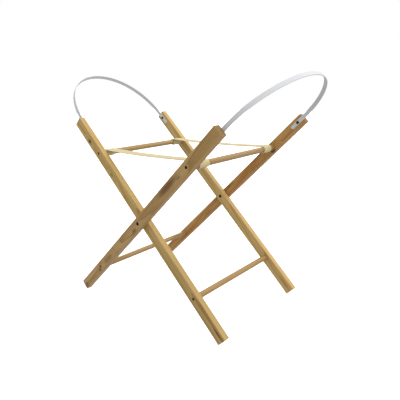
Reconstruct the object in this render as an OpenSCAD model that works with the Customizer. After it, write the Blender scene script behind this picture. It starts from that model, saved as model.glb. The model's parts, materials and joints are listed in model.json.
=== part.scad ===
// Folding wooden stand for a baby's basket: two crossed frames on a pivot,
// two webbing straps that stop it opening, and a plastic bow on each frame.
// Millimetres, +Z up, floor at z = 0, pivot above the origin, rails along Y.

/* [Frames] */
// Length of each leg
leg_len = 750; // [600:1:900]
// Width of a leg, seen from the side of the stand
leg_w = 31; // [25:0.5:45]
// Thickness of a leg, across the stand
leg_t = 19; // [15:0.5:28]
// Rounding of the legs' long edges
leg_edge_r = 2.5; // [1:0.5:5]
// Rounding of the corners at the legs' ends, seen from the side
leg_end_r = 2; // [0.5:0.5:6]
// Width over the outer legs
overall_w = 420; // [340:1:520]
// Slope of the open legs, up from the floor in degrees
lean = 44.7; // [38:0.1:52]
// Gap between the crossed legs
frame_gap = 2; // [1:0.5:5]

/* [Rails] */
// Diameter of the round rails
rail_d = 16; // [12:0.5:24]
// Distance of each rail from the nearer end of its legs
rail_inset = 127.5; // [80:0.5:170]
// Depth of the sockets that hold the rails
socket_depth = 8; // [5:0.5:12]

/* [Bows] */
// Width of the plastic strip
strip_w = 11.5; // [8:0.5:20]
// Thickness of the plastic strip
strip_t = 2.2; // [1.4:0.2:4]
// Rise of the outer frame's bow past its leg ends
outer_bow_rise = 164; // [130:1:220]
// Rise of the inner frame's bow past its leg ends
inner_bow_rise = 187; // [150:1:240]
// Length of strip lying on each leg
strip_lap = 44; // [35:1:60]
// Distance of the bow screw from the leg's end
bow_screw_inset = 18; // [12:1:30]

/* [Straps] */
// Width of the webbing
webbing_w = 38; // [20:1:60]
// Thickness of the webbing
webbing_t = 1.8; // [1.2:0.2:3]
// Dip of the webbing half-way between the rails
webbing_sag = 4; // [1:0.5:15]
// Gap between the webbing and the inner leg beside it
webbing_gap = 1; // [0.5:0.5:8]
// Turn of the webbing round the rail past its outermost side, degrees
webbing_wrap = 215; // [95:1:220]

/* [Fasteners] */
// Shank diameter of the pivot bolt
bolt_d = 6; // [5:0.5:8]
// Head diameter of the pivot bolt
bolt_head_d = 10; // [8.5:0.5:13]
// Shank diameter of the rail screws
rail_screw_d = 3.5; // [3:0.5:5]
// Head diameter of the rail screws
rail_screw_head_d = 8; // [6:0.5:10]
// Shank diameter of the bow screws
bow_screw_d = 3.5; // [3:0.5:5]
// Head diameter of the bow screws
bow_screw_head_d = 8; // [6:0.5:11]

/* [Hidden] */
eps = 0.01;
cut = 1;
soft_gap = 0.3; // webbing to the wood and staples beside it
lap = 0.1; // pieces of one strip run this far into each other, and every
slim = 0.02; // other one is this much slimmer all round, so no faces coincide
running_gap = 0.05; // bolt to the leg that turns on it

half_leg = leg_len / 2; // the pivot is half-way up
// The legs stand on the rounded lower corners of their feet.
pivot_z = (half_leg - leg_end_r) * sin(lean)
  + (leg_w / 2 - leg_end_r) * cos(lean) + leg_end_r;
outer_y = overall_w / 2; // outer legs' outer faces
outer_in = outer_y - leg_t; // outer legs' inner faces
inner_y = outer_in - frame_gap; // inner legs' outer faces
inner_in = inner_y - leg_t; // inner legs' inner faces
rail_at = half_leg - rail_inset; // rail to pivot, along the leg
rail_r = rail_d / 2;
rail_x = rail_at * cos(lean);
rail_z = pivot_z + rail_at * sin(lean); // upper rails
bow_screw_at = half_leg - bow_screw_inset;

bolt_head_h = 4;
bolt_head_dome = 0.5;
bolt_recess = 5.5; // counterbore in the outer leg
bolt_socket = 5.2; // across the corners of the hexagon socket
bolt_socket_depth = 2.4;
head_gap = 0.5; // round the bolt's head and the nut in their counterbores
bolt_bore_d = bolt_head_d + 2 * head_gap;
washer_d = 16;
washer_t = frame_gap - 0.1;
nut_d = bolt_head_d + 0.4; // across the corners
nut_h = 5;
nut_recess = 5.8; // counterbore in the inner leg
nut_gap = 0.1; // nut to the floor of its counterbore
bolt_end = 0.5; // below the inner leg's inner face

rail_recess = 4; // counterbore over the rail screws
rail_bore_d = rail_screw_head_d + 0.6;
rail_screw_len = 36;
screw_head_h = 2.4;
screw_head_dome = 0.8;
bow_screw_len = 16;
screw_point = 5;
screw_tip_d = 0.6;
drive_w = 1.1; // slots of the cross recess
drive_depth = 1.3;
drive_reach = 0.55; // length of a slot as a share of the head's diameter

staple_w = 10; // crown, along the rail
staple_wire = 1.2;
staple_crown_t = 0.7;
staple_depth = 6; // into the rail
staple_spread = 9; // each staple from the webbing's middle

// The webbing: round each rail, then a long shallow dip between them.
wrap_r = rail_r + soft_gap; // inner face of the webbing on a rail
wrap_mid_r = wrap_r + webbing_t / 2;
dip_k = (rail_x * rail_x + webbing_sag * webbing_sag) / (2 * webbing_sag);
dip_r = dip_k - wrap_mid_r; // radius of the dip, middle of the webbing
dip_z = rail_z + wrap_mid_r + dip_r - webbing_sag; // centre of the dip
dip_half = asin(rail_x / dip_k); // half the angle of the dip
webbing_y = inner_in - webbing_gap - webbing_w / 2; // middle of a strap

strip_edge_r = strip_t * 0.35;

$fn = 96;

// ---------------------------------------------------------------- placing

// Leg coordinates: x up the leg from the pivot, y across, z off the leg.
module in_outer() {
  translate([0, 0, pivot_z]) rotate([0, -lean, 0]) children();
}

module in_inner() {
  mirror([1, 0, 0]) in_outer() children();
}

module back() {
  mirror([0, 1, 0]) children();
}

// A cylinder along Y, from y0 up to y1.
module y_cyl(d, y0, y1, x = 0, z = 0) {
  translate([x, y1, z]) rotate([90, 0, 0]) cylinder(d = d, h = y1 - y0);
}

// ------------------------------------------------------------------- legs

module rounded_bar(a, b, r) {
  square([a - 2 * r, b], center = true);
  square([a, b - 2 * r], center = true);
  for (sx = [-1, 1]) {
    for (sy = [-1, 1]) {
      translate([sx * (a / 2 - r), sy * (b / 2 - r)]) circle(r = r);
    }
  }
}

// A front leg in leg coordinates; its outer face is at y = -face.
module leg_blank(face) {
  intersection() {
    translate([-half_leg, leg_t / 2 - face, 0]) rotate([90, 0, 90])
      linear_extrude(leg_len) rounded_bar(leg_t, leg_w, leg_edge_r);
    translate([0, leg_t + cut - face, 0]) rotate([90, 0, 0])
      linear_extrude(leg_t + 2 * cut) rounded_bar(leg_len, leg_w, leg_end_r);
  }
}

// What every leg loses: two rail sockets with their screws, a bow screw.
module leg_cuts(face) {
  inside = face - leg_t;
  for (at = [-rail_at, rail_at]) {
    y_cyl(rail_d, -inside - socket_depth, -inside + cut, at);
    y_cyl(rail_screw_d, -face - cut, -inside, at);
    y_cyl(rail_bore_d, -face - cut, -face + rail_recess, at);
  }
  y_cyl(bow_screw_d, bow_screw_tip(inside), -inside + cut, bow_screw_at);
}

function bow_screw_tip(inside) = strip_t - inside - bow_screw_len;

module outer_leg() {
  in_outer() difference() {
    leg_blank(outer_y);
    leg_cuts(outer_y);
    y_cyl(bolt_d, -outer_y - cut, -outer_in + cut);
    y_cyl(bolt_bore_d, -outer_y - cut, -outer_y + bolt_recess);
  }
}

module inner_leg() {
  in_inner() difference() {
    leg_blank(inner_y);
    leg_cuts(inner_y);
    y_cyl(bolt_d + 2 * running_gap, -inner_y - cut, -inner_in + cut);
    y_cyl(nut_d + 2 * head_gap, -inner_in - nut_recess, -inner_in + cut);
  }
}

module outer_leg_front() color([0.62, 0.46, 0.26]) outer_leg();
module outer_leg_back() color([0.62, 0.46, 0.26]) back() outer_leg();
module inner_leg_front() color([0.76, 0.6, 0.36]) inner_leg();
module inner_leg_back() color([0.76, 0.6, 0.36]) back() inner_leg();

// ------------------------------------------------------------------ rails

// A rail at the distance at from the pivot, in leg coordinates.
module rail(at, face) {
  end = face - leg_t + socket_depth;
  difference() {
    y_cyl(rail_d, -end, end, at);
    for (s = [0, 1]) {
      mirror([0, s, 0]) rail_screw_hole(at, face);
    }
  }
}

module outer_upper_rail() {
  color([0.82, 0.66, 0.42]) difference() {
    in_outer() rail(rail_at, outer_y);
    staples(1);
    back() staples(1);
  }
}

module inner_upper_rail() {
  color([0.82, 0.66, 0.42]) difference() {
    in_inner() rail(rail_at, inner_y);
    staples(-1);
    back() staples(-1);
  }
}

module outer_lower_rail() {
  color([0.82, 0.66, 0.42]) in_outer() rail(-rail_at, outer_y);
}

module inner_lower_rail() {
  color([0.82, 0.66, 0.42]) in_inner() rail(-rail_at, inner_y);
}

// ------------------------------------------------------------------- bows

module strip_section(less = 0) {
  rounded_bar(strip_t - 2 * less, strip_w - 2 * less, strip_edge_r - less);
}

// Part of a ring of strip about [cx, cy], from angle a0 through turn, with
// both its ends run on by lap to join what follows.
module strip_arc(cx, cy, r, a0, turn, less = 0) {
  more = lap / r * 180 / PI;
  translate([cx, cy, 0]) rotate([0, 0, a0 - more])
    rotate_extrude(angle = turn + 2 * more, $fn = 180)
      translate([r, 0]) strip_section(less);
}

// The straight end of the strip on a leg, rounded off at the bottom.
module strip_end(a, screw) {
  difference() {
    intersection() {
      translate([half_leg - strip_lap, a, 0]) rotate([90, 0, 90])
        linear_extrude(strip_lap) strip_section(slim);
      union() {
        y_cyl(strip_w, a - strip_t, a + strip_t,
          half_leg - strip_lap + strip_w / 2);
        translate([half_leg - strip_lap / 2 + strip_w / 4, a, 0])
          cube([strip_lap - strip_w / 2, 2 * strip_t, 2 * strip_w],
            center = true);
      }
    }
    y_cyl(bow_screw_d, a - strip_t, a + strip_t, screw);
  }
}

// A three-centred arch of half width a, at the middle of the strip, and rise
// h. Its sides have the radius r1 that an ellipse has there, and the crown's
// radius r2 makes the arcs meet smoothly, join degrees up from the sides.
module bow(inside, h) {
  a = inside - strip_t / 2;
  r1 = h * h / a;
  r2 = a * (a + h) / (2 * h);
  s = h < a ? 1 : -1;
  join = abs(h - a) < cut ? 45 : atan2(s * (r2 - h), s * (a - r1));
  for (m = [0, 1]) {
    mirror([0, m, 0]) {
      strip_end(a, bow_screw_at);
      strip_arc(half_leg, a - r1, r1, 90 - join, join);
    }
  }
  strip_arc(half_leg + h - r2, 0, r2, join - 90, 180 - 2 * join, slim);
}

module outer_bow() {
  color([0.93, 0.93, 0.92])
    in_outer() bow(outer_in, outer_bow_rise);
}

module inner_bow() {
  color([0.93, 0.93, 0.92])
    in_inner() bow(inner_in, inner_bow_rise);
}

// ------------------------------------------------------------------ straps

// Webbing swept about a line along Y through [x, z], in the XZ plane,
// from angle a0 through turn, measured from +X towards +Z.
module webbing_arc(x, z, r, a0, turn, less = 0) {
  more = lap / r * 180 / PI;
  translate([x, 0, z]) rotate([90, more - a0, 0])
    rotate_extrude(angle = turn + 2 * more, $fn = 180) translate([r, 0])
      square([webbing_t - 2 * less, webbing_w - 2 * less], center = true);
}

// The inner frame's end is s = -1, the outer frame's end is s = 1.
module strap() {
  difference() {
    translate([0, -webbing_y, 0]) {
      webbing_arc(0, dip_z, dip_r, -90 - dip_half, 2 * dip_half, slim);
      webbing_arc(rail_x, rail_z, wrap_mid_r, -webbing_wrap,
        webbing_wrap + 90 + dip_half);
      webbing_arc(-rail_x, rail_z, wrap_mid_r, 90 - dip_half,
        webbing_wrap + 90 + dip_half);
    }
    staple_holes(1);
    staple_holes(-1);
  }
}

module strap_front() color([0.95, 0.92, 0.72]) strap();
module strap_back() color([0.95, 0.92, 0.72]) back() strap();

// ----------------------------------------------------------------- staples

// Top of the crown of a staple, under the webbing under the rail.
crown_z = rail_z - wrap_r - webbing_t - soft_gap;

module staple(x, y) {
  top = rail_z - rail_r + staple_depth;
  translate([x - staple_wire / 2, y - staple_w / 2, crown_z - staple_crown_t])
    cube([staple_wire, staple_w, staple_crown_t]);
  for (s = [-1, 1]) {
    translate([x - staple_wire / 2,
      y - staple_wire / 2 + s * (staple_w - staple_wire) / 2, crown_z - eps])
      cube([staple_wire, staple_wire, top - crown_z]);
  }
}

module staples(side) {
  for (s = [-1, 1]) {
    staple(side * rail_x, -webbing_y + s * staple_spread);
  }
}

// The room the staples' legs have in the webbing.
module staple_holes(side) {
  hole = staple_wire + 2 * soft_gap;
  for (s = [-1, 1]) {
    for (t = [-1, 1]) {
      translate([side * rail_x - hole / 2, -webbing_y + s * staple_spread
        + t * (staple_w - staple_wire) / 2 - hole / 2,
        crown_z - staple_crown_t])
        cube([hole, hole, webbing_t + rail_r]);
    }
  }
}

module staples_outer_front() color([0.6, 0.6, 0.62]) staples(1);
module staples_outer_back() color([0.6, 0.6, 0.62]) back() staples(1);
module staples_inner_front() color([0.6, 0.6, 0.62]) staples(-1);
module staples_inner_back() color([0.6, 0.6, 0.62]) back() staples(-1);

// ------------------------------------------------------------------- pivot

module pivot_bolt() {
  under = -outer_y + bolt_recess;
  in_outer() difference() {
    union() {
      translate([0, under, 0]) head(bolt_head_d, bolt_head_h, bolt_head_dome);
      y_cyl(bolt_d, under - eps, -inner_in - bolt_end);
    }
    y_cyl(bolt_socket, under - bolt_head_h - cut,
      under - bolt_head_h + bolt_socket_depth, $fn = 6);
  }
}

module pivot_washer() {
  in_outer() difference() {
    y_cyl(washer_d, -outer_in, -outer_in + washer_t);
    y_cyl(bolt_d, -outer_in - cut, -outer_in + washer_t + cut);
  }
}

module pivot_nut() {
  y0 = -inner_in - nut_recess + nut_gap;
  in_outer() difference() {
    y_cyl(nut_d, y0, y0 + nut_h, $fn = 6);
    y_cyl(bolt_d, y0 - cut, y0 + nut_h + cut);
  }
}

module pivot_bolt_front() color([0.16, 0.15, 0.14]) pivot_bolt();
module pivot_bolt_back() color([0.16, 0.15, 0.14]) back() pivot_bolt();
module pivot_washer_front() color([0.5, 0.5, 0.5]) pivot_washer();
module pivot_washer_back() color([0.5, 0.5, 0.5]) back() pivot_washer();
module pivot_nut_front() color([0.16, 0.15, 0.14]) pivot_nut();
module pivot_nut_back() color([0.16, 0.15, 0.14]) back() pivot_nut();

// ------------------------------------------------------------------ screws

// A screw's or bolt's head: its underside at y = 0, its top towards -Y and
// crowned, so that the rim is lower than the middle by dome.
module head(d, h, dome) {
  r = (d * d / 4 + dome * dome) / (2 * dome);
  intersection() {
    y_cyl(d, -h, 0);
    translate([0, r - h, 0]) sphere(r = r);
  }
}

// A cross recess, its mouth at y = 0 and going towards +Y.
module cross_recess(head_d) {
  for (turn = [0, 90]) {
    rotate([0, turn, 0]) translate([0, (drive_depth - cut) / 2, 0])
      cube([head_d * drive_reach, drive_depth + cut, drive_w], center = true);
  }
}

// A wood screw: the underside of its head at [x, 0, 0], pointing to +Y.
module wood_screw(head_d, d, long, x) {
  difference() {
    union() {
      translate([x, 0, 0]) head(head_d, screw_head_h, screw_head_dome);
      shank(d, -eps, long, x);
    }
    translate([x, -screw_head_h, 0]) cross_recess(head_d);
  }
}

// A pointed shank along +Y: starts at y0, ends at y1.
module shank(d, y0, y1, x) {
  y_cyl(d, y0, y1 - screw_point, x);
  translate([x, y1 - screw_point, 0]) rotate([-90, 0, 0])
    cylinder(d1 = d, d2 = screw_tip_d, h = screw_point);
}

// The hole that a rail screw makes.
module rail_screw_hole(at, face) {
  under = -face + rail_recess;
  shank(rail_screw_d, under - eps, under + rail_screw_len, at);
}

module rail_screw(at, face) {
  translate([0, -face + rail_recess, 0])
    wood_screw(rail_screw_head_d, rail_screw_d, rail_screw_len, at);
}

// The bow screw's head stands on the strip, and its point is in the leg.
module bow_screw(inside) {
  mirror([0, 1, 0]) translate([0, inside - strip_t, 0])
    wood_screw(bow_screw_head_d, bow_screw_d, bow_screw_len, bow_screw_at);
}

module dark() color([0.16, 0.15, 0.14]) children();

module screw_outer_upper_front() dark() in_outer() rail_screw(rail_at, outer_y);
module screw_outer_upper_back() back() screw_outer_upper_front();
module screw_outer_lower_front() dark() in_outer() rail_screw(-rail_at, outer_y);
module screw_outer_lower_back() back() screw_outer_lower_front();
module screw_inner_upper_front() dark() in_inner() rail_screw(rail_at, inner_y);
module screw_inner_upper_back() back() screw_inner_upper_front();
module screw_inner_lower_front() dark() in_inner() rail_screw(-rail_at, inner_y);
module screw_inner_lower_back() back() screw_inner_lower_front();
module bow_screw_outer_front() dark() in_outer() bow_screw(outer_in);
module bow_screw_outer_back() back() bow_screw_outer_front();
module bow_screw_inner_front() dark() in_inner() bow_screw(inner_in);
module bow_screw_inner_back() back() bow_screw_inner_front();

// ----------------------------------------------------------------- drawing

outer_leg_front();
outer_leg_back();
inner_leg_front();
inner_leg_back();
outer_upper_rail();
outer_lower_rail();
inner_upper_rail();
inner_lower_rail();
outer_bow();
inner_bow();
strap_front();
strap_back();
pivot_bolt_front();
pivot_bolt_back();
pivot_washer_front();
pivot_washer_back();
pivot_nut_front();
pivot_nut_back();
screw_outer_upper_front();
screw_outer_upper_back();
screw_outer_lower_front();
screw_outer_lower_back();
screw_inner_upper_front();
screw_inner_upper_back();
screw_inner_lower_front();
screw_inner_lower_back();
bow_screw_outer_front();
bow_screw_outer_back();
bow_screw_inner_front();
bow_screw_inner_back();
staples_outer_front();
staples_outer_back();
staples_inner_front();
staples_inner_back();
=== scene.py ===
"""Looks for a folding wooden stand for a baby's basket.

Two crossed pine frames carry a plastic bow each, and two webbing straps join them. Everything is in
metres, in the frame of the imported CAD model. What follows a leg is worked out in leg coordinates:
along the leg from the pivot, across the stand, and off the leg.
"""

import json
import math

import bpy
from mathutils import Euler, Matrix, Vector


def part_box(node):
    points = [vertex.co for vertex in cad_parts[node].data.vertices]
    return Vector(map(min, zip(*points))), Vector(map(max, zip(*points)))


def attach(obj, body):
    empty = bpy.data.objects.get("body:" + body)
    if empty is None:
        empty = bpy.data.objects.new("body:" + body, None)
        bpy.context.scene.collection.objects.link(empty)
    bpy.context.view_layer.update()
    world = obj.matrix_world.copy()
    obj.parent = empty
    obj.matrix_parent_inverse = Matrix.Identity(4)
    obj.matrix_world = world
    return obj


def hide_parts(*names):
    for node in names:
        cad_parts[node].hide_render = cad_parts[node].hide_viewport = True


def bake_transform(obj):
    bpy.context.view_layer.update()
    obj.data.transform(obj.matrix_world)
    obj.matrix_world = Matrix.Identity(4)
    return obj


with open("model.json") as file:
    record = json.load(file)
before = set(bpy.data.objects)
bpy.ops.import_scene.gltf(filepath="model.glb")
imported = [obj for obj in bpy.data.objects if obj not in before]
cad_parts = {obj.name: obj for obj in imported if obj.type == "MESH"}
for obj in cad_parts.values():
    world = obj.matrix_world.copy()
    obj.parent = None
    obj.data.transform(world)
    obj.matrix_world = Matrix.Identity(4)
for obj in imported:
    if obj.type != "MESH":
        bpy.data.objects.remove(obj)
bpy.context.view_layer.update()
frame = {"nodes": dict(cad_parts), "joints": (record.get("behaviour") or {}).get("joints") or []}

# Plastic strip of the bows. A bow whose rise is within JOIN_NEAR of its half width is a half circle.
STRIP_T = 0.0022
STRIP_EDGE_R = 0.0007
BOW_STEP = 0.004
JOIN_NEAR = 0.001

# Cotton webbing of the straps. WEBBING_WRAP is its turn round a rail past the outermost side.
WEBBING_T = 0.0018
WEBBING_GAP = 0.0003
WEBBING_SAG = 0.004
WEBBING_WRAP = math.radians(215)
WEBBING_EDGE_R = 0.0006
WEBBING_STEP = 0.0025

# Broken edges of the wood and the metal.
WOOD_EDGE = 0.0005
METAL_EDGE = 0.00015
SHARP_ANGLE = math.radians(35)

PIVOT = Vector(frame["joints"][0]["pos_m"])


# ---------------------------------------------------------------- places


def middle(node):
    """The middle of a CAD node's box."""
    low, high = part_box(node)
    return (low + high) / 2


def slope():
    """The legs' angle above the floor, from the pivot and the outer frame's upper rail."""
    arm = middle("outer_upper_rail") - PIVOT
    return math.atan2(arm.z, arm.x)


def leg_matrix(side):
    """Leg coordinates to the row frame: side is 1 for the outer frame and -1 for the inner one."""
    lean = slope()
    along = Vector((side * math.cos(lean), 0, math.sin(lean)))
    across = Vector((0, 1, 0))
    off = Vector((-side * math.sin(lean), 0, math.cos(lean)))
    turn = Matrix((along, across, off)).transposed().to_4x4()
    return Matrix.Translation(PIVOT) @ turn


def leg_box(node, side):
    """Lowest and highest corner of a CAD node in leg coordinates."""
    to_leg = leg_matrix(side).inverted()
    points = [to_leg @ v.co for v in frame["nodes"][node].data.vertices]
    low = Vector([min(p[i] for p in points) for i in range(3)])
    high = Vector([max(p[i] for p in points) for i in range(3)])
    return low, high


# ----------------------------------------------------- node tree shorthand


def colour(red, green, blue):
    """An sRGB colour, 0 to 255, as the linear colour that a socket holds."""
    shares = [c / 255 for c in (red, green, blue)]
    linear = [c / 12.92 if c <= 0.04045 else ((c + 0.055) / 1.055) ** 2.4 for c in shares]
    return (*linear, 1)


class Graph:
    """The emptied node tree of a material or world, with a short call for each kind of node used."""

    def __init__(self, owner):
        owner.use_nodes = True
        self.owner = owner
        self.tree = owner.node_tree
        self.tree.nodes.clear()

    def add(self, kind, **settings):
        node = self.tree.nodes.new("ShaderNode" + kind)
        for key, value in settings.items():
            setattr(node, key, value)
        return node

    def feed(self, socket, value):
        """Links a socket to an output, or sets it where value is a number, colour or point."""
        if isinstance(value, bpy.types.NodeSocket):
            self.tree.links.new(value, socket)
        else:
            socket.default_value = value

    def math(self, operation, first, second=0.0):
        node = self.add("Math", operation=operation)
        self.feed(node.inputs[0], first)
        self.feed(node.inputs[1], second)
        return node.outputs[0]

    def map(self, value, start, end, low=0.0, high=1.0, curve="SMOOTHSTEP"):
        """value from start to end becomes low to high."""
        node = self.add("MapRange", interpolation_type=curve)
        names = ("Value", "From Min", "From Max", "To Min", "To Max")
        for name, number in zip(names, (value, start, end, low, high)):
            self.feed(node.inputs[name], number)
        return node.outputs[0]

    def place(self, vector, location=(0, 0, 0), rotation=(0, 0, 0), scale=(1, 1, 1), kind="POINT"):
        node = self.add("Mapping", vector_type=kind)
        self.feed(node.inputs["Vector"], vector)
        node.inputs["Location"].default_value = location
        node.inputs["Rotation"].default_value = rotation
        node.inputs["Scale"].default_value = scale
        return node.outputs[0]

    def axes(self, vector):
        """A vector's X, Y and Z."""
        node = self.add("SeparateXYZ")
        self.feed(node.inputs[0], vector)
        return node.outputs

    def length(self, vector):
        node = self.add("VectorMath", operation="LENGTH")
        self.feed(node.inputs[0], vector)
        return node.outputs["Value"]

    def dot(self, first, second):
        node = self.add("VectorMath", operation="DOT_PRODUCT")
        self.feed(node.inputs[0], first)
        self.feed(node.inputs[1], second)
        return node.outputs["Value"]

    def noise(self, vector, scale=1.0, detail=2.0):
        node = self.add("TexNoise")
        self.feed(node.inputs["Vector"], vector)
        node.inputs["Scale"].default_value = scale
        node.inputs["Detail"].default_value = detail
        return node.outputs["Fac"]

    def mix(self, share, first, second, blend="MIX"):
        """Two colours; share is how much of the second shows."""
        node = self.add("MixRGB", blend_type=blend)
        self.feed(node.inputs["Fac"], share)
        self.feed(node.inputs["Color1"], first)
        self.feed(node.inputs["Color2"], second)
        return node.outputs["Color"]

    def ramp(self, share, stops):
        """A colour by share; stops are (position, colour)."""
        node = self.add("ValToRGB")
        self.feed(node.inputs["Fac"], share)
        elements = node.color_ramp.elements
        while len(elements) < len(stops):
            elements.new(0.5)
        for element, (position, tint) in zip(elements, stops):
            element.position = position
            element.color = tint
        return node.outputs["Color"]

    def finish(self, tint, roughness, height, depth, fixed):
        """The material's shader: colour, roughness, bump up to depth metres, and fixed sockets."""
        bump = self.add("Bump")
        self.feed(bump.inputs["Height"], height)
        bump.inputs["Distance"].default_value = depth
        shader = self.add("BsdfPrincipled")
        self.feed(shader.inputs["Base Color"], tint)
        self.feed(shader.inputs["Roughness"], roughness)
        self.feed(shader.inputs["Normal"], bump.outputs["Normal"])
        for name, value in fixed.items():
            shader.inputs[name].default_value = value
        out = self.add("OutputMaterial")
        self.feed(out.inputs["Surface"], shader.outputs["BSDF"])
        return self.owner


def grey(share):
    """A linear grey as a socket's colour."""
    return (share, share, share, 1)


def new_material(name):
    return Graph(bpy.data.materials.new(name))


# ------------------------------------------------------------------ wood

RING_GAP = 0.0033
RING_WANDER = 3.2  # in rings
RING_PROFILE = (
    (0.0, grey(0.0)),
    (0.4, grey(0.1)),
    (0.8, grey(0.7)),
    (0.92, grey(1.0)),
    (0.99, grey(0.0)),
)
KNOT_LENGTH = 1.5  # along the grain, in widths
KNOT_REACH = 5.0  # rings bend round a knot out to here, in its radii
KNOT_BEND = 2.2  # rings moved for each ring gap of the knot's radius
KNOT_RINGS = 2.6  # rings in the knot itself, per radius
FIBRE_CONTRAST = ((0.3, grey(0.72)), (0.62, grey(1.0)))
# Brown multiplied into the wood in dark patches: stains in the wood, and in places painted shade.
STAIN_AND_SHADE = colour(128, 92, 58)
KNOT_EYE = ((0.0, colour(108, 64, 34)), (0.9, colour(58, 32, 18)))
END_SHADE = colour(188, 182, 174)
WOOD_BUMP = 0.00002


def ring_count(g, at, heart, tilt, seed):
    """Growth rings out from the tree's heart, whose line passes the piece at heart, leaning by tilt."""
    from_heart = g.place(at, location=(0, *heart), rotation=(0, *tilt))
    wander = g.noise(g.place(at, location=(seed, seed, 0), scale=(3.0, 24, 24)), detail=2.0)
    flat = g.place(from_heart, scale=(0, 1 / RING_GAP, 1 / RING_GAP))
    return g.math("ADD", g.length(flat), g.math("MULTIPLY", wander, RING_WANDER))


def knot_field(g, at, x, z, radius):
    """Distance from a knot's heart in knot radii."""
    long = KNOT_LENGTH * radius
    scale = (1 / long, 0, 1 / radius)
    return g.length(g.place(at, location=(-x / long, 0, -z / radius), scale=scale))


def bend_round_knots(g, rings, fields, knots):
    """Rings pushed aside by the knots."""
    for field, (_, _, radius, _) in zip(fields, knots):
        push = radius / RING_GAP * KNOT_BEND
        rings = g.math("ADD", rings, g.map(field, 0.0, KNOT_REACH, push, 0.0))
    return rings


def stain_and_shade(g, at, tint, tone, patches):
    """The tint, darkened in ragged patches: stains in the wood, and in places painted shade."""
    for x, z, long, wide, strength in patches:
        spot = g.place(at, location=(-x / long, 0, -z / wide), scale=(1 / long, 0, 1 / wide))
        ragged = g.math("ADD", g.length(spot), g.math("MULTIPLY", tone, 0.9))
        tint = g.mix(g.map(ragged, 0.7, 1.6, strength, 0.0), tint, STAIN_AND_SHADE, "MULTIPLY")
    return tint


def paint_knots(g, tint, fields, knots):
    """The tint, with each knot's dark rings; where a knot sits just under a rail, its darkness is also
    painted shade.
    """
    for field, (_, _, _, darkness) in zip(fields, knots):
        eye = g.ramp(g.math("FRACT", g.math("MULTIPLY", field, KNOT_RINGS)), KNOT_EYE)
        tint = g.mix(g.map(field, 0.75, 1.2, darkness, 0.0), tint, eye)
    return tint


def end_grain_share(g, normal, rotation):
    """1 on a piece's sawn ends and 0 on its sides, from the turn of its grain."""
    grain = Euler(rotation).to_matrix() @ Vector((1, 0, 0))
    return g.map(g.math("ABSOLUTE", g.dot(normal, grain)), 0.75, 0.95)


def pine(name, origin, rotation, pale, late, warm, heart, tilt, seed, knots=(), patches=()):
    """Varnished pine whose grain runs along the local X axis of that origin and rotation.

    pale and late are the colours of early and late wood, and warm tints it in places. knots are
    (along, off, radius, darkness) and patches (along, off, half length, half width, strength).
    """
    g = new_material(name)
    coordinates = g.add("TexCoord")
    at = g.place(coordinates.outputs["Object"], origin, rotation, kind="TEXTURE")
    tone = g.noise(g.place(at, location=(0, seed, seed), scale=(5, 36, 36)), detail=3.0)
    fibre = g.noise(g.place(at, scale=(12, 420, 420)), detail=2.0)
    fields = [knot_field(g, at, x, z, radius) for x, z, radius, _ in knots]
    rings = bend_round_knots(g, ring_count(g, at, heart, tilt, seed), fields, knots)
    late_share = g.ramp(g.math("FRACT", rings), RING_PROFILE)
    end_share = end_grain_share(g, coordinates.outputs["Normal"], rotation)

    tint = g.mix(late_share, pale, late)
    tint = g.mix(g.map(tone, 0.4, 0.72, 0.0, 0.75), tint, warm)
    tint = g.mix(0.4, tint, g.ramp(fibre, FIBRE_CONTRAST), "MULTIPLY")
    tint = stain_and_shade(g, at, tint, tone, patches)
    tint = paint_knots(g, tint, fields, knots)
    tint = g.mix(g.math("MULTIPLY", end_share, 0.8), tint, END_SHADE, "MULTIPLY")

    dull = g.math("ADD", g.math("MULTIPLY", fibre, 0.22), g.math("MULTIPLY", end_share, 0.2))
    height = g.math("ADD", g.math("MULTIPLY", late_share, 0.35), fibre)
    varnish = {"IOR": 1.32, "Coat Weight": 0.04, "Coat Roughness": 0.25}
    return g.finish(tint, g.math("ADD", dull, 0.3), height, WOOD_BUMP, varnish)


def leg_turn(side):
    """The turn from the row frame to a leg's grain: side is 1 for the outer frame, -1 for the inner."""
    lean = slope()
    return (0, -lean if side == 1 else lean - math.pi, 0)


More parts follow.
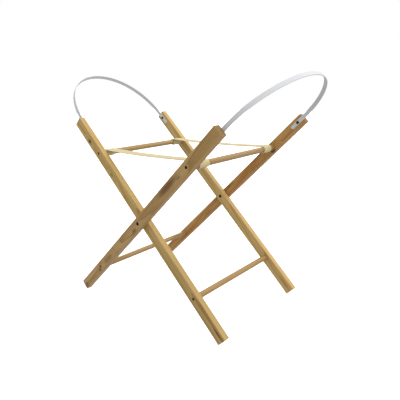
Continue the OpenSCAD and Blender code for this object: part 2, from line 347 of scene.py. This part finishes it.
def leg_woods():
    """Each leg's own piece of pine."""
    outer, inner = leg_turn(1), leg_turn(-1)
    return {
        "outer_leg_front": pine(
            "pine_outer_leg_front", PIVOT, outer,
            colour(190, 158, 103), colour(154, 118, 66), colour(170, 132, 80),
            heart=(0.052, 0.006), tilt=(0.012, 0.02), seed=1.3,
            knots=((-0.179, -0.002, 0.0055, 0.3),),
            patches=((0.165, 0.004, 0.055, 0.011, 0.7), (0.211, -0.003, 0.011, 0.003, 0.6),
                     (-0.026, -0.006, 0.013, 0.007, 0.6), (-0.258, -0.006, 0.010, 0.006, 0.85),
                     (-0.2, -0.002, 0.03, 0.01, 0.35), (-0.362, -0.006, 0.013, 0.011, 0.5))),
        "outer_leg_back": pine(
            "pine_outer_leg_back", PIVOT, outer,
            colour(192, 150, 90), colour(164, 116, 60), colour(180, 122, 60),
            heart=(-0.06, -0.012), tilt=(-0.014, 0.012), seed=4.1,
            # The first knot sits just under the upper rail: partly a real knot, partly painted shade
            # under the rail.
            knots=((0.243, -0.009, 0.006, 0.8), (0.151, -0.005, 0.0035, 0.2)),
            patches=((0.200, 0.012, 0.012, 0.004, 0.5), (0.047, 0.008, 0.02, 0.007, 0.35),
                     (-0.1, -0.005, 0.03, 0.006, 0.35))),
        "inner_leg_front": pine(
            "pine_inner_leg_front", PIVOT, inner,
            colour(202, 173, 110), colour(169, 134, 71), colour(184, 147, 82),
            heart=(0.04, 0.02), tilt=(0.016, -0.012), seed=7.7,
            knots=((0.297, 0.0026, 0.0040, 1.0), (0.169, 0.003, 0.004, 0.4)),
            patches=((-0.353, -0.005, 0.022, 0.003, 0.9), (0.297, 0.002, 0.014, 0.008, 0.35),
                     # The last patch is painted shade: a broad darkening of this leg's lower half, where
                     # less light falls on it.
                     (-0.24, 0.0, 0.2, 0.06, 0.22))),
        "inner_leg_back": pine(
            "pine_inner_leg_back", PIVOT, inner,
            colour(208, 180, 120), colour(176, 142, 82), colour(196, 156, 92),
            heart=(-0.05, 0.016), tilt=(0.012, 0.016), seed=9.2,
            patches=((-0.344, -0.004, 0.035, 0.003, 0.6),)),
    }


def rail_wood(node, seed, heart):
    return pine("pine_" + node, middle(node), (0, 0, math.pi / 2),
                colour(176, 146, 97), colour(150, 116, 68), colour(164, 128, 76),
                heart=heart, tilt=(0.008, 0.01), seed=seed)


def rail_woods():
    """Each rail's own piece of pine, by where the tree's heart lies and a seed."""
    hearts = {
        "outer_upper_rail": (2.1, (0.02, 0.03)),
        "outer_lower_rail": (5.6, (-0.03, 0.024)),
        "inner_upper_rail": (3.8, (0.035, -0.01)),
        "inner_lower_rail": (6.9, (0.012, 0.04)),
    }
    return {node: rail_wood(node, seed, heart) for node, (seed, heart) in hearts.items()}


# --------------------------------------------------- metal, plastic, cloth


def dark_steel():
    """Browned steel, worn brighter in specks."""
    g = new_material("dark_steel")
    at = g.add("TexCoord").outputs["Object"]
    wear = g.noise(at, 900, 4.0)
    worn = ((0.4, colour(34, 29, 26)), (0.62, colour(62, 54, 48)), (0.75, colour(112, 102, 92)))
    tint = g.ramp(wear, worn)
    roughness = g.map(wear, 0.3, 0.7, 0.55, 0.32)
    return g.finish(tint, roughness, wear, 0.00003, {"Metallic": 0.75})


def bright_steel():
    """Zinc with its dull mottling."""
    g = new_material("bright_steel")
    at = g.add("TexCoord").outputs["Object"]
    mottle = g.noise(at, 650, 3.0)
    tint = g.ramp(mottle, ((0.35, colour(136, 138, 142)), (0.65, colour(196, 198, 200))))
    roughness = g.map(mottle, 0.3, 0.7, 0.28, 0.48)
    return g.finish(tint, roughness, mottle, 0.00002, {"Metallic": 1.0})


def bow_plastic():
    """White moulded strip: faint draw lines along it, and handling marks."""
    g = new_material("bow_plastic")
    along = g.add("UVMap", uv_map="strip").outputs["UV"]
    lines = g.noise(g.place(along, scale=(300, 3, 1)), detail=1.0)
    marks = g.noise(g.place(along, scale=(40, 15, 1)), detail=2.0)
    marked = g.map(marks, 0.52, 0.75, 0.0, 0.5)
    tint = g.mix(marked, colour(206, 207, 210), colour(200, 199, 198))
    roughness = g.math("ADD", g.math("MULTIPLY", marks, 0.2), 0.3)
    return g.finish(tint, roughness, lines, 0.000001, {"IOR": 1.5})


RIB_PITCH = 0.0016
WEFT_PITCH = 0.0019
CHEVRON = 0.0095
CHEVRON_ROWS = 5.0  # threads that a chevron's two slants cross together


def ridge(g, count):
    """A half sine wave over each whole number of count."""
    return g.math("SINE", g.math("MULTIPLY", g.math("FRACT", count), math.pi))


def webbing():
    """Cotton webbing in a herringbone weave, its ribs lying along the strap."""
    g = new_material("webbing")
    uv = g.add("UVMap", uv_map="strip").outputs["UV"]
    parts = g.axes(uv)
    zigzag = g.math("PINGPONG", g.math("DIVIDE", parts["X"], CHEVRON), 0.5)
    rows = g.math("DIVIDE", parts["Y"], WEFT_PITCH)
    thread = ridge(g, g.math("ADD", rows, g.math("MULTIPLY", zigzag, CHEVRON_ROWS)))
    rib = ridge(g, g.math("DIVIDE", parts["X"], RIB_PITCH))
    weave = g.math("ADD", g.math("MULTIPLY", thread, 0.65), g.math("MULTIPLY", rib, 0.35))
    fuzz = g.noise(g.place(uv, scale=(5200, 2400, 1)), detail=3.0)
    wash = g.noise(g.place(uv, scale=(60, 22, 1)), detail=3.0)

    tint = g.ramp(weave, ((0.1, colour(172, 150, 95)), (0.6, colour(214, 197, 144))))
    tint = g.mix(g.map(wash, 0.45, 0.7, 0.0, 0.5), tint, colour(202, 183, 125))
    tint = g.mix(0.3, tint, g.ramp(fuzz, ((0.3, grey(0.7)), (0.65, grey(1.0)))), "MULTIPLY")
    roughness = g.map(fuzz, 0.3, 0.7, 0.75, 0.92)
    height = g.math("ADD", weave, g.math("MULTIPLY", fuzz, 0.5))
    nap = {"Sheen Weight": 0.3, "Sheen Roughness": 0.5}
    return g.finish(tint, roughness, height, 0.0003, nap)


# ------------------------------------------------------- carried-over parts


def soften(part, width):
    """Breaks a CAD part's sharp edges by width."""
    weld = part.modifiers.new("weld", "WELD")
    weld.merge_threshold = 1e-6
    bevel = part.modifiers.new("broken_edges", "BEVEL")
    bevel.width = width
    bevel.segments = 2
    bevel.limit_method = "ANGLE"
    bevel.angle_limit = SHARP_ANGLE
    bevel.harden_normals = True


def dress(node, material, edge):
    """Gives a CAD part its material and its broken edges."""
    part = frame["nodes"][node]
    part.material_slots[0].material = material
    soften(part, edge)


def dress_cad_parts():
    for node, material in {**leg_woods(), **rail_woods()}.items():
        dress(node, material, WOOD_EDGE)
    steel, zinc = dark_steel(), bright_steel()
    for node in frame["nodes"]:
        if node.startswith(("screw_", "bow_screw_", "pivot_bolt", "pivot_nut")):
            dress(node, steel, METAL_EDGE)
        if node.startswith(("staples_", "pivot_washer")):
            dress(node, zinc, METAL_EDGE)


# ------------------------------------------------------------ swept strips


def rounded_section(width, thickness, radius, columns):
    """Points (across, out) round a flat strip's section, with columns of points over each flat side."""
    flat, level = width / 2 - radius, thickness / 2 - radius
    side = [(-flat + 2 * flat * i / columns, thickness / 2) for i in range(columns + 1)]
    corner = []
    for turn in (75, 45, 15, -15, -45, -75):
        angle = math.radians(turn)
        drop = level if turn > 0 else -level
        corner.append((flat + radius * math.cos(angle), drop + radius * math.sin(angle)))
    half = side + corner
    return half + [(-u, -n) for u, n in half]


def sweep(name, stations, section):
    """A closed strip with its section carried along stations of (middle, across, out, width share).

    Its UV map holds metres: across the strip, then along it.
    """
    verts, travel = [], [0.0]
    for i, (centre, across, out, share) in enumerate(stations):
        if i:
            travel.append(travel[-1] + (centre - stations[i - 1][0]).length)
        verts += [centre + across * (u * share) + out * n for u, n in section]
    count, last = len(section), len(stations) - 1
    faces = []
    for start in range(0, last * count, count):
        for j in range(count):
            k = (j + 1) % count
            faces.append([start + j, start + k, start + count + k, start + count + j])
    faces += [list(range(count))[::-1], [last * count + j for j in range(count)]]
    mesh = bpy.data.meshes.new(name)
    mesh.from_pydata(verts, [], faces)
    layer = mesh.uv_layers.new(name="strip")
    for loop in mesh.loops:
        station, j = divmod(loop.vertex_index, count)
        layer.uv[loop.index].vector = (section[j][0], travel[station])
    mesh.shade_smooth()
    mesh.set_sharp_from_angle(angle=SHARP_ANGLE)
    piece = bpy.data.objects.new(name, mesh)
    bpy.context.scene.collection.objects.link(piece)
    return piece, travel[-1]


def steps_along(length, step):
    return max(2, math.ceil(length / step))


# -------------------------------------------------------------------- bows


def bow_path(half, rise, foot, lap):
    """(along, across, heading) down the middle of a bow's strip, from the front leg to the back one.

    The strip lies on the legs for lap, up to foot, and is an arch of three arcs between them: rise is
    to its middle and half is its half width. Heading is its turn from the legs' direction.
    """
    side_r = rise * rise / half
    crown_r = half * (half + rise) / (2 * rise)
    sign = 1 if rise < half else -1
    near = abs(rise - half) < JOIN_NEAR
    join = math.pi / 4 if near else math.atan2(sign * (crown_r - rise), sign * (half - side_r))
    points = []
    count = steps_along(lap, BOW_STEP)
    for i in range(count):
        points.append((foot - lap + lap * i / count, -half, 0.0))
    count = steps_along(side_r * join, BOW_STEP)
    for i in range(count):
        angle = join * i / count
        across = side_r - half - side_r * math.cos(angle)
        points.append((foot + side_r * math.sin(angle), across, angle))
    spread = math.pi / 2 - join
    count = steps_along(crown_r * spread, BOW_STEP)
    for i in range(count + 1):
        angle = spread * (i / count - 1)
        along = foot + rise - crown_r + crown_r * math.cos(angle)
        points.append((along, crown_r * math.sin(angle), angle + math.pi / 2))
    mirrored = [(x, -y, math.pi - heading) for x, y, heading in points[:-1]]
    return points + mirrored[::-1]


def round_ends(points, half_width):
    """A bow's points with a width share added to each, which falls to nothing round the two ends."""
    first, edge = points[0][0], points[0][1]
    fan = [math.radians(turn) for turn in (4, 12, 24, 36, 50, 65, 78, 90)]
    start = [(first + half_width * (1 - math.cos(a)), edge, 0.0, math.sin(a)) for a in fan]
    clear = first + half_width * 1.05
    inner = [(x, y, heading, 1.0) for x, y, heading in points
             if x >= clear or heading not in (0.0, math.pi)]
    end = [(x, -y, math.pi, share) for x, y, heading, share in start[::-1]]
    return start + inner + end


def bow(node, side):
    """A bow's strip, from the CAD bow's box and the legs it is screwed to."""
    low, high = leg_box(node, side)
    foot = leg_box(node.replace("bow", "leg_front"), side)[1].x
    width = high.z - low.z
    half = high.y - STRIP_T / 2
    rise = high.x - STRIP_T / 2 - foot
    place = leg_matrix(side)
    turn = place.to_3x3()
    stations = []
    for x, y, heading, share in round_ends(bow_path(half, rise, foot, foot - low.x), width / 2):
        out = turn @ Vector((math.sin(heading), -math.cos(heading), 0))
        stations.append((place @ Vector((x, y, 0)), turn @ Vector((0, 0, 1)), out, share))
    section = rounded_section(width, STRIP_T, STRIP_EDGE_R, 4)
    piece, _ = sweep(node + "_strip", stations, section)
    return piece


def build_bows():
    plastic = bow_plastic()
    for node, body, side in (("outer_bow", "outer_frame", 1), ("inner_bow", "inner_frame", -1)):
        piece = bow(node, side)
        piece.data.materials.append(plastic)
        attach(piece, body)
        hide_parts(node)


# ------------------------------------------------------------------ straps


def strap_path():
    """(point, out) along a strap's middle in the XZ plane: round a rail, a dip, round the other rail."""
    low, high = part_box("outer_upper_rail")
    rail = (low + high) / 2
    wrap_r = (high.z - low.z) / 2 + WEBBING_GAP + WEBBING_T / 2
    dip_k = (rail.x ** 2 + WEBBING_SAG ** 2) / (2 * WEBBING_SAG)
    dip_r = dip_k - wrap_r
    dip_half = math.asin(rail.x / dip_k)
    over = math.pi / 2 + dip_half
    points = []
    turn = WEBBING_WRAP + over
    count = steps_along(turn * wrap_r, WEBBING_STEP / 2)
    for i in range(count):
        angle = -WEBBING_WRAP + turn * i / count
        out = Vector((math.cos(angle), 0, math.sin(angle)))
        points.append((Vector((rail.x, 0, rail.z)) + out * wrap_r, out))
    centre = Vector((0, 0, rail.z + wrap_r + dip_r - WEBBING_SAG))
    count = steps_along(dip_half * dip_r, WEBBING_STEP)
    for i in range(count + 1):
        angle = dip_half * (1 - i / count)
        out = Vector((-math.sin(angle), 0, math.cos(angle)))
        points.append((centre - out * dip_r, out))
    flip = Vector((-1, 1, 1))
    mirrored = [(point * flip, out * flip) for point, out in points[:-1]]
    return points + mirrored[::-1]


def strap(node, cloth):
    """A strap of webbing swept round one upper rail, down into a dip and round the other, at the CAD
    strap's width and place.
    """
    low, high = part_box(node)
    width, y = high.y - low.y, (low.y + high.y) / 2
    across = Vector((0, 1, 0))
    stations = [(point + across * y, across, out, 1.0) for point, out in strap_path()]
    section = rounded_section(width, WEBBING_T, WEBBING_EDGE_R, 12)
    piece, length = sweep(node + "_webbing", stations, section)
    piece.data.materials.append(cloth)
    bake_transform(piece)
    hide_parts(node)


def build_straps():
    cloth = webbing()
    strap("strap_front", cloth)
    strap("strap_back", cloth)


# --------------------------------------------------------- stage and camera

FLOOR_HALF = 9.0
FLOOR_GLOW = 0.72
HORIZON = (-0.35, 0.6)  # heights of direction between which the glow turns into sky
GLOW_BELOW = 0.63
SKY_ABOVE = 0.4
SOFTBOX_TOWARDS = (0.35, 0.2, 0.9)
SOFTBOX_ANGLE = math.radians(85)
SOFTBOX_STRENGTH = 1.5
LENS_MM = 38.126
LENS_SHIFT = (0.0751, 0.0009)
CAMERA_FROM_PIVOT = Vector((0.80925, -0.95161, 0.35536))
CAMERA_RIGHT = Vector((0.73788, 0.67452, -0.02351))
CAMERA_UP = Vector((-0.15694, 0.20535, 0.96602))


def floor_material():
    """White paper that glows a little, so that it meets the background without an edge."""
    g = new_material("floor_paper")
    at = g.add("TexCoord").outputs["Object"]
    grain = g.noise(at, 300, 3.0)
    tint = g.ramp(grain, ((0.3, grey(0.86)), (0.7, grey(0.88))))
    fixed = {
        "Specular IOR Level": 0.1,
        "Emission Color": grey(1.0),
        "Emission Strength": FLOOR_GLOW,
    }
    return g.finish(tint, 0.9, grain, 0.0001, fixed)


def build_floor():
    """A floor for the camera to see, which bounces no light onto the part."""
    corners = [(x * FLOOR_HALF, y * FLOOR_HALF, 0) for x, y in ((-1, -1), (1, -1), (1, 1), (-1, 1))]
    mesh = bpy.data.meshes.new("floor")
    mesh.from_pydata(corners, [], [[0, 1, 2, 3]])
    mesh.materials.append(floor_material())
    floor = bpy.data.objects.new("floor", mesh)
    bpy.context.scene.collection.objects.link(floor)
    floor.visible_diffuse = False
    floor.visible_glossy = False


def background(g, strength):
    """A white world shader of that strength."""
    node = g.add("Background")
    node.inputs["Color"].default_value = grey(1.0)
    g.feed(node.inputs["Strength"], strength)
    return node.outputs[0]


def build_world():
    """White to look at. It lights with a sky above, a floor's glow below and one wide soft light."""
    world = bpy.data.worlds.new("studio")
    g = Graph(world)
    direction = g.add("TexCoord").outputs["Generated"]
    height = g.axes(direction)["Z"]
    sky = g.map(height, *HORIZON, GLOW_BELOW, SKY_ABOVE, curve="LINEAR")
    facing = g.dot(direction, Vector(SOFTBOX_TOWARDS).normalized())
    softbox = g.map(facing, math.cos(SOFTBOX_ANGLE), 1.0, 0.0, SOFTBOX_STRENGTH)
    both = g.add("MixShader")
    g.feed(both.inputs["Fac"], g.add("LightPath").outputs["Is Camera Ray"])
    g.feed(both.inputs[1], background(g, g.math("ADD", sky, softbox)))
    g.feed(both.inputs[2], background(g, 1.0))
    out = g.add("OutputWorld")
    g.feed(out.inputs["Surface"], both.outputs[0])
    bpy.context.scene.world = world


def build_camera():
    data = bpy.data.cameras.new("camera")
    data.sensor_width = 36
    data.lens = LENS_MM
    data.shift_x, data.shift_y = LENS_SHIFT
    camera = bpy.data.objects.new("camera", data)
    axes = (CAMERA_RIGHT, CAMERA_UP, CAMERA_RIGHT.cross(CAMERA_UP))
    turn = Matrix(axes).transposed().to_4x4()
    camera.matrix_world = Matrix.Translation(PIVOT + CAMERA_FROM_PIVOT) @ turn
    bpy.context.scene.collection.objects.link(camera)
    bpy.context.scene.camera = camera


dress_cad_parts()
build_bows()
build_straps()
build_floor()
build_world()
build_camera()
bpy.context.scene.view_settings.view_transform = "Standard"
